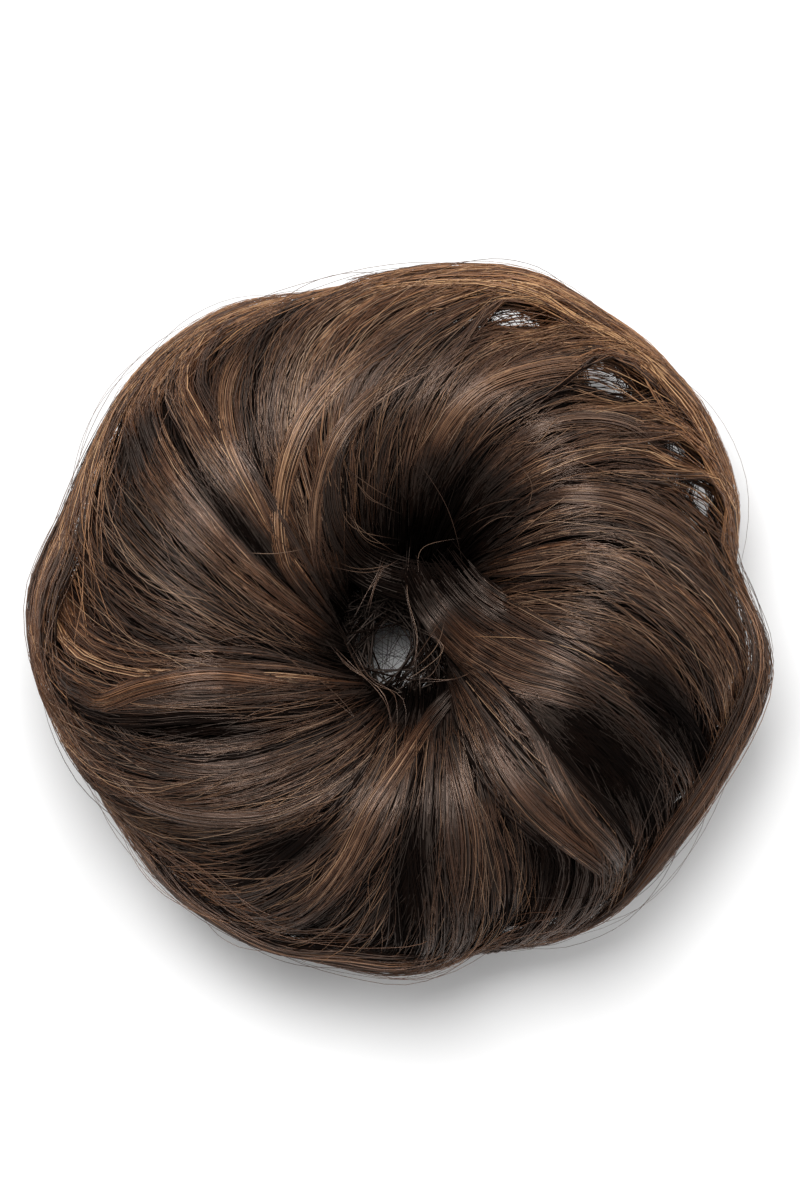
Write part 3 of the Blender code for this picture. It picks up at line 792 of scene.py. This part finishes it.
def flowStrands(name, crest, heightMap, form, stations=12):
    count = len(crest)
    stops = (-20.0,) + liftStops + (262.0,)
    table = combTable(crest)
    table = np.concatenate([table[:, :1] + 4.0, table, table[:, -1:] - 14.0], axis=1)
    u = alongStrand(stations)
    begin = draws.uniform(*form["firstLift"], (count, 1))
    end = draws.uniform(*form["lastLift"], (count, 1))
    stray = draws.random(count) < form["strays"]
    out = waves(count, u) * np.where(stray, 3.5, form["wander"])[:, None] * mm
    lifts = begin + (end - begin) * u
    angle, lift = shifted(lambda t: curveThrough(stops, table, t), lambda t: t, lifts, out)
    depth = draws.random(count)[:, None] ** 1.3 * 1.1 * mm
    height = heightMap.read(angle, lift) + form["over"] * mm - depth
    height += np.where(stray, 0.6 * mm, 0.0)[:, None] * np.sin(math.pi * u)
    bands = 0.07 * np.sin(np.radians(crest) * 23.0) + 0.05 * np.sin(np.radians(crest) * 41.0 + 1.0)
    tone = (form["tone"] + bands + draws.normal(0.0, 0.12, count))[:, None]
    warmth = (form["warmth"] + draws.normal(0.0, 0.14, count))[:, None]
    radius = draws.uniform(form["thinnest"], form["thickest"], count) / 2.0 * mm
    return ringStrands(name, angle, lift, height, depth, radius, tone, warmth)


# Hair of the underside, gathered in towards the band
baseForm = {"sectors": 6, "strands": 190, "tone": 0.42, "warmth": 0.25, "thinnest": 0.26, "thickest": 0.38,
            "firstLift": (205.0, 262.0), "lastLift": (300.0, 352.0), "turn": 26.0}


def baseStrands(name, crest, form, stations=10):
    count = len(crest)
    u = alongStrand(stations)
    begin = draws.uniform(*form["firstLift"], (count, 1))
    end = draws.uniform(*form["lastLift"], (count, 1))
    lift = begin + (end - begin) * u
    angle = crest[:, None] - form["turn"] * (lift - 200.0) / 150.0 + 3.0 * waves(count, u)
    depth = draws.random((count, 1)) * 0.5 * mm
    height = underMap.read(angle, lift) - 0.15 * mm - depth
    points = ringPoint(angle, lift, height)
    normals = ringPoint(angle, lift, height + mm, -1.0) - ringPoint(angle, lift, height, -1.0)
    # painted shade: the tone darkens deeper down and towards the band under the ring
    tones = form["tone"] + draws.normal(0.0, 0.12, (count, 1)) - 0.3 * depth / mm
    tones = tones * (1.0 - 0.5 * smoothStep(290.0, 345.0, lift))
    warmths = form["warmth"] + draws.normal(0.0, 0.13, (count, 1))
    radii = draws.uniform(form["thinnest"], form["thickest"], (count, 1)) / 2.0 * mm
    return strandMesh(name, points, normals, radii * narrowed(u, 0.1, 0.15, 1.05, 0.2), tones, warmths)


# The hair under the strands that show. At the upper right, where the partings are, it is thin
coreForm = {"setIn": 1.2, "base": 1.0, "tone": 0.14, "warmth": 0.2,
            "thinAngle": 46.0, "thinHalfAngle": 47.0, "thinSetIn": 6.5}


def makeCore(form):
    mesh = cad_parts["under_hair"].data.copy()
    mesh.name = "underHairCore"
    mesh.materials.clear()
    bm = bmesh.new()
    bm.from_mesh(mesh)
    bmesh.ops.remove_doubles(bm, verts=bm.verts[:], dist=0.00001)
    bmesh.ops.smooth_vert(bm, verts=bm.verts[:], factor=0.5,
                          use_axis_x=True, use_axis_y=True, use_axis_z=True)
    bm.normal_update()
    for corner in bm.verts:
        if corner.co.z > 0.0012:
            corner.co -= corner.normal * form["setIn"] * mm
        else:
            corner.co.z = form["base"] * mm
        out = Vector((corner.co.x - wellX, corner.co.y - wellY, 0.0))
        turn = math.atan2(out.y, out.x)
        facing = max(0.0, math.cos(1.9 * (turn - math.radians(form["thinAngle"]))))
        facing *= abs(math.degrees(turn) - form["thinAngle"]) < form["thinHalfAngle"]
        beyond = min(max((out.length - 46 * mm) / (10 * mm), 0.0), 1.0)
        beyond *= min(max((corner.co.z - 2 * mm) / (11 * mm), 0.0), 1.0)
        corner.co -= out.normalized() * form["thinSetIn"] * mm * facing ** 0.5 * beyond
    for face in bm.faces:
        face.smooth = True
    bm.to_mesh(mesh)
    bm.free()
    # painted shade: the core is near black and takes the matt copy of the hair, for the hair in shade under
    # the strands
    for label, value in (("strandToneAndPaintedLight", form["tone"]), ("strandWarmthAndPaintedGlow", form["warmth"])):
        attribute = mesh.attributes.new(label, "FLOAT", "POINT")
        attribute.data.foreach_set("value", np.full(len(mesh.vertices), value, np.float32))
    mesh.polygons.foreach_set("material_index", np.ones(len(mesh.polygons), np.int32))
    return mesh


def sectorCrests(form):
    # a name's number and the crest angles of its strands, sector by sector
    for sector in range(form["sectors"]):
        yield sector + 1, (sector + draws.random(form["strands"])) * 360.0 / form["sectors"]


addPiece(makeCore(coreForm), ("under_hair",))
for number, crest in sectorCrests(flowForm):
    addPiece(flowStrands("underHair%02d" % number, crest, underMap, flowForm))
for number, crest in sectorCrests(baseForm):
    addPiece(baseStrands("baseHair%02d" % number, crest, baseForm))
for number, crest in sectorCrests(veilForm):
    addPiece(flowStrands("veilHair%02d" % number, crest, allMap, veilForm))
print("under-hair laid")

# Strands that leave the locks near the rim and run round it, and loops that stand off it
edgeForm = {"pieces": 2, "strands": 280, "sweep": (35.0, 95.0), "firstLift": (124.0, 170.0), "lower": 26.0,
            "lastLift": (164.0, 202.0), "over": (-0.3, 0.7), "tone": 0.60, "warmth": 0.42}
loopForm = {"strands": 110, "sweep": (18.0, 55.0), "stand": (0.8, 3.4), "tone": 0.42, "warmth": 0.35}


def edgeStrands(name, form, stations=14):
    count = form["strands"]
    u = alongStrand(stations)
    begin = draws.uniform(0.0, 360.0, (count, 1))
    sweep = draws.uniform(*form["sweep"], (count, 1))
    lowLift = draws.uniform(*form["firstLift"], (count, 1))
    # the rim band is broad above and narrow below
    lowLift += form["lower"] * smoothStep(0.1, 0.6, -np.sin(np.radians(begin - sweep / 2.0 - 20.0)))
    highLift = np.maximum(draws.uniform(*form["lastLift"], (count, 1)), lowLift + 8.0)
    angle = begin - sweep * u + 0.8 * waves(count, u)
    lift = lowLift + (highLift - lowLift) * (1.0 - (1.0 - u) ** 1.7) + 2.5 * waves(count, u)
    over = draws.uniform(*form["over"], (count, 1)) * mm
    height = allMap.read(angle, lift) + over
    tone = form["tone"] + draws.normal(0.0, 0.12, (count, 1))
    warmth = form["warmth"] + draws.normal(0.0, 0.15, (count, 1))
    # painted light and shade: rim hair on the side toward the lamp above is lighter and warmer, on the far
    # side darker
    facing = np.sin(np.radians(angle - 10.0))
    tone = tone + 0.12 * smoothStep(0.1, 0.7, facing) - 0.10 * smoothStep(0.1, 0.7, -facing)
    warmth = warmth + 0.22 * smoothStep(0.1, 0.7, facing)
    radius = draws.uniform(0.06, 0.11, count) * mm
    return ringStrands(name, angle, lift, height, 0.0, radius, tone, warmth, taper=0.35, crossing=0.3)


def loopStrands(name, form, stations=16):
    count = form["strands"]
    u = alongStrand(stations)
    begin = draws.uniform(0.0, 360.0, (count, 1))
    sweep = draws.uniform(*form["sweep"], (count, 1))
    angle = begin - sweep * u + 1.0 * waves(count, u)
    lift = draws.uniform(135.0, 172.0, (count, 1)) + draws.uniform(0.0, 30.0, (count, 1)) * u
    stand = draws.uniform(*form["stand"], (count, 1)) * mm
    height = allMap.read(angle, lift) + stand * np.sin(math.pi * np.clip(u * 1.15, 0.0, 1.0)) ** 0.8
    tone = form["tone"] + draws.normal(0.0, 0.15, (count, 1))
    warmth = form["warmth"] + draws.normal(0.0, 0.15, (count, 1))
    radius = draws.uniform(0.05, 0.085, count) * mm
    return ringStrands(name, angle, lift, height, 0.0, radius, tone, warmth, taper=0.4, crossing=1.0)


for number in range(edgeForm["pieces"]):
    addPiece(edgeStrands("edgeHair%02d" % (number + 1), edgeForm))
addPiece(loopStrands("looseHair", loopForm))
print("rim hair laid")

# Hair that crosses the well, all but one spot where the table shows through; its dark tone is painted shade
wellForm = {"strands": 460, "low": 12.0, "high": 21.0, "reach": 13.5, "spotAcross": -3.0, "spotUp": -4.1,
            "spotHalfWidth": 3.6, "spotHalfHeight": 4.6, "tone": 0.17, "crossing": 110,
            "thickness": 0.4, "crossingThickness": 0.09}


def wellStrands(name, form, stations=8):
    count = form["strands"]
    u = alongStrand(stations)[..., None]
    begin = draws.uniform(0.0, 2.0 * math.pi, count)
    finish = begin + math.pi + draws.uniform(-1.5, 1.5, count)
    ends = []
    for turn in (begin, finish):
        z = draws.uniform(form["low"], form["high"], count)
        ends.append(np.stack([form["reach"] * np.cos(turn), form["reach"] * np.sin(turn), z], axis=1))
    bend = (ends[0] + ends[1]) / 2.0 + np.stack([draws.normal(0.0, 3.0, count), draws.normal(0.0, 3.0, count),
                                                 draws.uniform(-4.0, 1.0, count)], axis=1)
    points = ((1 - u) ** 2 * ends[0][:, None] + 2 * u * (1 - u) * bend[:, None] + u * u * ends[1][:, None])
    away = np.hypot((points[..., 0] - form["spotAcross"]) / form["spotHalfWidth"],
                    (points[..., 1] - form["spotUp"]) / form["spotHalfHeight"])
    keep = away.min(axis=1) > draws.uniform(0.9, 1.15, count)
    keep[:form["crossing"]] = True
    thin = np.where(np.arange(count) < form["crossing"], form["crossingThickness"], form["thickness"])[keep]
    tone = (form["tone"] + draws.normal(0.0, 0.04, count))[keep]
    points = points[keep] * mm + np.array([wellX, wellY, 0.0])
    normals = sideways((0.05, 0.03, 1.0), points.shape)
    return strandMesh(name, points, normals, thin[:, None] / 2.0 * mm, tone[:, None], 0.25)


addPiece(wellStrands("wellHair", wellForm))

# Single fine hairs over the dark eye and round the spot: three or more points in millimetres, and
# how many hairs run side by side
loneHairs = (
    (((-3.0, 36.8, 48.0), (6.8, 23.0, 42.0), (10.8, 9.8, 37.0)), 1),
    (((19.5, 30.8, 50.0), (22.8, 25.5, 49.5), (20.6, 18.0, 47.0)), 1),
    (((8.7, 19.2, 38.0), (15.5, 22.6, 43.0), (25.5, 24.2, 50.0)), 1),
    (((12.0, 16.5, 40.0), (16.5, 19.6, 43.0), (22.5, 20.6, 48.0)), 2),
    (((-14.5, 12.3, 42.0), (-7.4, 11.3, 36.0), (0.4, 12.4, 33.0)), 2),
    (((0.4, 16.5, 34.0), (-0.4, 5.8, 35.0), (0.8, -4.0, 37.0), (0.2, -12.5, 40.0)), 2),
    (((2.1, 8.1, 36.0), (2.8, 14.5, 36.0), (11.0, 16.6, 38.0)), 1),
    (((-7.8, 1.4, 37.0), (-6.4, 8.0, 37.0), (-4.0, 11.8, 36.0)), 6),
    (((-2.3, -22.0, 46.0), (-1.5, -13.0, 41.0), (-5.4, -10.6, 38.0), (-10.4, -6.2, 38.0),
      (-15.5, 6.0, 43.0)), 3),
    (((-2.3, -22.0, 46.0), (-3.6, -13.6, 42.0), (-11.0, -5.3, 39.0), (-15.5, -2.0, 41.0)), 4),
    (((0.6, 1.6, 37.0), (6.2, -3.6, 39.0), (3.8, -9.2, 39.0), (-2.6, -10.6, 39.0)), 2),
    (((1.4, -10.6, 41.0), (9.0, -9.0, 43.0), (17.0, -5.0, 49.0)), 2),
    (((7.4, 3.2, 41.0), (5.2, -2.6, 39.0), (-0.4, -9.4, 39.0)), 2),
    (((-12.4, 24.0, 46.0), (-8.4, 17.6, 42.0), (-0.6, 14.0, 36.0)), 4),
    (((-12.0, 31.0, 48.0), (-7.0, 25.0, 44.0), (-1.0, 21.6, 40.0)), 3),
    (((-18.5, 32.0, 50.0), (-19.5, 20.0, 49.0), (-15.0, 6.0, 44.0)), 2),
    (((-27.0, 22.0, 51.0), (-22.5, 11.0, 49.0), (-15.5, 0.5, 44.0)), 2),
    (((-40.5, -5.6, 50.0), (-27.0, -2.4, 50.5), (-13.5, -12.0, 44.0), (-4.0, -21.0, 45.0)), 2),
    (((-31.0, 13.6, 51.0), (-24.0, 13.4, 50.5), (-16.0, 14.8, 46.0)), 1),
)


def fineHairs(name, rows, thickness, tone, stations=16):
    # thin single hairs whose ends are painted dark, fading into the shade
    u = alongStrand(stations)
    routes = []
    for route, copies in rows:
        places = np.linspace(0.0, 1.0, len(route))
        for _ in range(copies):
            moved = np.array(route) + draws.normal(0.0, 0.8, (len(route), 3)) * (copies > 1)
            routes.append([curveThrough(places, [moved[:, axis]], u)[0] for axis in range(3)])
    points = np.array(routes).transpose(0, 2, 1) * mm + np.array([wellX, wellY, 0.0])
    normals = sideways((0.05, 0.03, 1.0), points.shape)
    tones = np.clip(tone + draws.normal(0.0, 0.10, (len(points), 1)), 0.2, 1.0)
    tones = tones * smoothStep(-0.05, 0.35, u) * (1.0 - smoothStep(0.65, 1.05, u))
    radii = thickness / 2.0 * mm * narrowed(u, 0.1, 0.3, 1.05, 0.35)
    return strandMesh(name, points, normals, radii, tones, 0.05)


addPiece(fineHairs("loneHair", loneHairs, 0.13, 0.70))
print("fine hairs laid")


def makeElasticMaterial(name, look):
    # fine covered elastic: dull textile yarn braided over rubber, so it shows small slanting ribs
    # that cross each other and hardly any shine
    material = bpy.data.materials.new(name)
    material.use_nodes = True
    tree = material.node_tree
    shader = tree.nodes["Principled BSDF"]
    shader.inputs["Roughness"].default_value = 0.82
    shader.inputs["Specular IOR Level"].default_value = 0.35
    shader.inputs["Sheen Weight"].default_value = 0.1
    shader.inputs["Sheen Roughness"].default_value = 0.5
    places = addNode(tree, "ShaderNodeTexCoord")
    centred = addNode(tree, "ShaderNodeVectorMath", {"operation": "SUBTRACT"},
                      {1: (wellX, wellY, (bandLow.z + bandHigh.z) / 2.0)}, {0: places.outputs["Object"]})
    axes = addNode(tree, "ShaderNodeSeparateXYZ", None, None, {"Vector": centred.outputs["Vector"]})
    around = addNode(tree, "ShaderNodeMath", {"operation": "ARCTAN2"}, None,
                     {0: axes.outputs["Y"], 1: axes.outputs["X"]})
    flat = addNode(tree, "ShaderNodeVectorMath", {"operation": "MULTIPLY"}, {1: (1.0, 1.0, 0.0)},
                   {0: centred.outputs["Vector"]})
    reach = addNode(tree, "ShaderNodeVectorMath", {"operation": "LENGTH"}, None, {0: flat.outputs["Vector"]})
    inside = addNode(tree, "ShaderNodeMath", {"operation": "SUBTRACT"}, {1: look["middleRadius"]},
                     {0: reach.outputs["Value"]})
    section = addNode(tree, "ShaderNodeMath", {"operation": "ARCTAN2"}, None,
                      {0: axes.outputs["Z"], 1: inside.outputs["Value"]})
    ribs = []
    for slant in (1.0, -1.0):
        along = addNode(tree, "ShaderNodeMath", {"operation": "MULTIPLY"}, {1: look["ribsAround"]},
                        {0: around.outputs["Value"]})
        across = addNode(tree, "ShaderNodeMath", {"operation": "MULTIPLY_ADD"},
                         {1: slant * look["ribsAcross"]},
                         {0: section.outputs["Value"], 2: along.outputs["Value"]})
        ribs.append(addNode(tree, "ShaderNodeMath", {"operation": "SINE"}, None,
                            {0: across.outputs["Value"]}))
    weave = addNode(tree, "ShaderNodeMath", {"operation": "MAXIMUM"}, None,
                    {0: ribs[0].outputs["Value"], 1: ribs[1].outputs["Value"]})
    shares = addNode(tree, "ShaderNodeMapRange", None, {"From Min": -0.6, "From Max": 1.0},
                     {"Value": weave.outputs["Value"]})
    colour = addNode(tree, "ShaderNodeValToRGB", None, None, {"Fac": shares.outputs["Result"]})
    # painted shade: the grooves between the ribs are darker than the yarn
    fillRamp(colour, ((0.0, look["grooveShade"]), (1.0, look["yarn"])))
    tree.links.new(colour.outputs["Color"], shader.inputs["Base Color"])
    bump = addNode(tree, "ShaderNodeBump", None, {"Strength": 0.6, "Distance": 0.15 * mm},
                   {"Height": shares.outputs["Result"]})
    tree.links.new(bump.outputs["Normal"], shader.inputs["Normal"])
    return material


def makeElastic(name, look):
    # one round section spun full circle
    bm = bmesh.new()
    middle = Vector((wellX, wellY, (bandLow.z + bandHigh.z) / 2.0))
    ring = bmesh.ops.create_circle(bm, segments=look["sides"], radius=look["thickness"] / 2.0)["verts"]
    for corner in ring:
        corner.co = middle + Vector((look["middleRadius"] + corner.co.x, 0.0, corner.co.y))
    bmesh.ops.spin(bm, geom=bm.verts[:] + bm.edges[:], cent=middle, axis=(0.0, 0.0, 1.0),
                   angle=2.0 * math.pi, steps=look["steps"], use_merge=True)
    bmesh.ops.remove_doubles(bm, verts=bm.verts[:], dist=0.000001)
    bmesh.ops.recalc_face_normals(bm, faces=bm.faces[:])
    for face in bm.faces:
        face.smooth = True
    mesh = bpy.data.meshes.new(name)
    bm.to_mesh(mesh)
    bm.free()
    return mesh


# The elastic, hidden in its channel: the ribs' counts give a braid about 1 mm wide
elasticLook = {
    "thickness": bandHigh.z - bandLow.z,
    "middleRadius": (bandHigh.x - bandLow.x - (bandHigh.z - bandLow.z)) / 2.0,
    "sides": 28,
    "steps": 128,
    "ribsAround": 88.0,
    "ribsAcross": 8.0,
    # painted shade in the grooves between the ribs
    "grooveShade": "#060606",
    "yarn": "#1d1b1b",
}
addPiece(makeElastic("elasticCord", elasticLook), ("elastic_band",),
         (makeElasticMaterial("black covered elastic cord", elasticLook),))
print("elastic made")


def addStudio():
    # pale floor
    bm = bmesh.new()
    bmesh.ops.create_grid(bm, x_segments=1, y_segments=1, size=3.0)
    mesh = bpy.data.meshes.new("floor")
    bm.to_mesh(mesh)
    bm.free()
    floor = bpy.data.objects.new("floor", mesh)
    bpy.context.scene.collection.objects.link(floor)
    paper = bpy.data.materials.new("white paper sweep")
    paper.use_nodes = True
    shader = paper.node_tree.nodes["Principled BSDF"]
    shader.inputs["Base Color"].default_value = toLinear("#fafafa")
    shader.inputs["Roughness"].default_value = 0.9
    mesh.materials.append(paper)

    world = bpy.data.worlds.new("soft studio")
    bpy.context.scene.world = world
    world.use_nodes = True
    world.node_tree.nodes["Background"].inputs["Color"].default_value = toLinear("#ffffff")
    world.node_tree.nodes["Background"].inputs["Strength"].default_value = 0.42
    lamps = (
        {"name": "softboxAbove", "place": (-0.14, 0.42, 1.0), "size": 0.6, "power": 12.5},
        {"name": "softboxRight", "place": (0.7, 0.25, 0.8), "size": 0.5, "power": 2.0},
    )
    for lamp in lamps:
        data = bpy.data.lights.new(lamp["name"], "AREA")
        data.size = lamp["size"]
        data.energy = lamp["power"]
        thing = bpy.data.objects.new(lamp["name"], data)
        thing.location = lamp["place"]
        aim = Vector((0.0, 0.0, 0.02)) - Vector(lamp["place"])
        thing.rotation_euler = aim.to_track_quat("-Z", "Y").to_euler()
        bpy.context.scene.collection.objects.link(thing)


def addCamera():
    # straight above, with the photograph's framing
    view = {
        "distance": 0.9,
        "framedHeight": 226.4 * mm,  # what the picture's 1200 pixels span at the hair's widest
        "across": 0.2 * mm,
        "down": 4.0 * mm,  # the hairpiece lies this much below the picture's middle
        "level": 22 * mm,
    }
    data = bpy.data.cameras.new("overhead")
    data.sensor_fit = "VERTICAL"
    data.sensor_height = 36.0
    data.lens = 36.0 * view["distance"] / view["framedHeight"]
    camera = bpy.data.objects.new("overhead", data)
    camera.location = (view["across"], view["down"], view["level"] + view["distance"])
    bpy.context.scene.collection.objects.link(camera)
    bpy.context.scene.camera = camera


addStudio()
addCamera()
bpy.context.scene.view_settings.view_transform = "Standard"
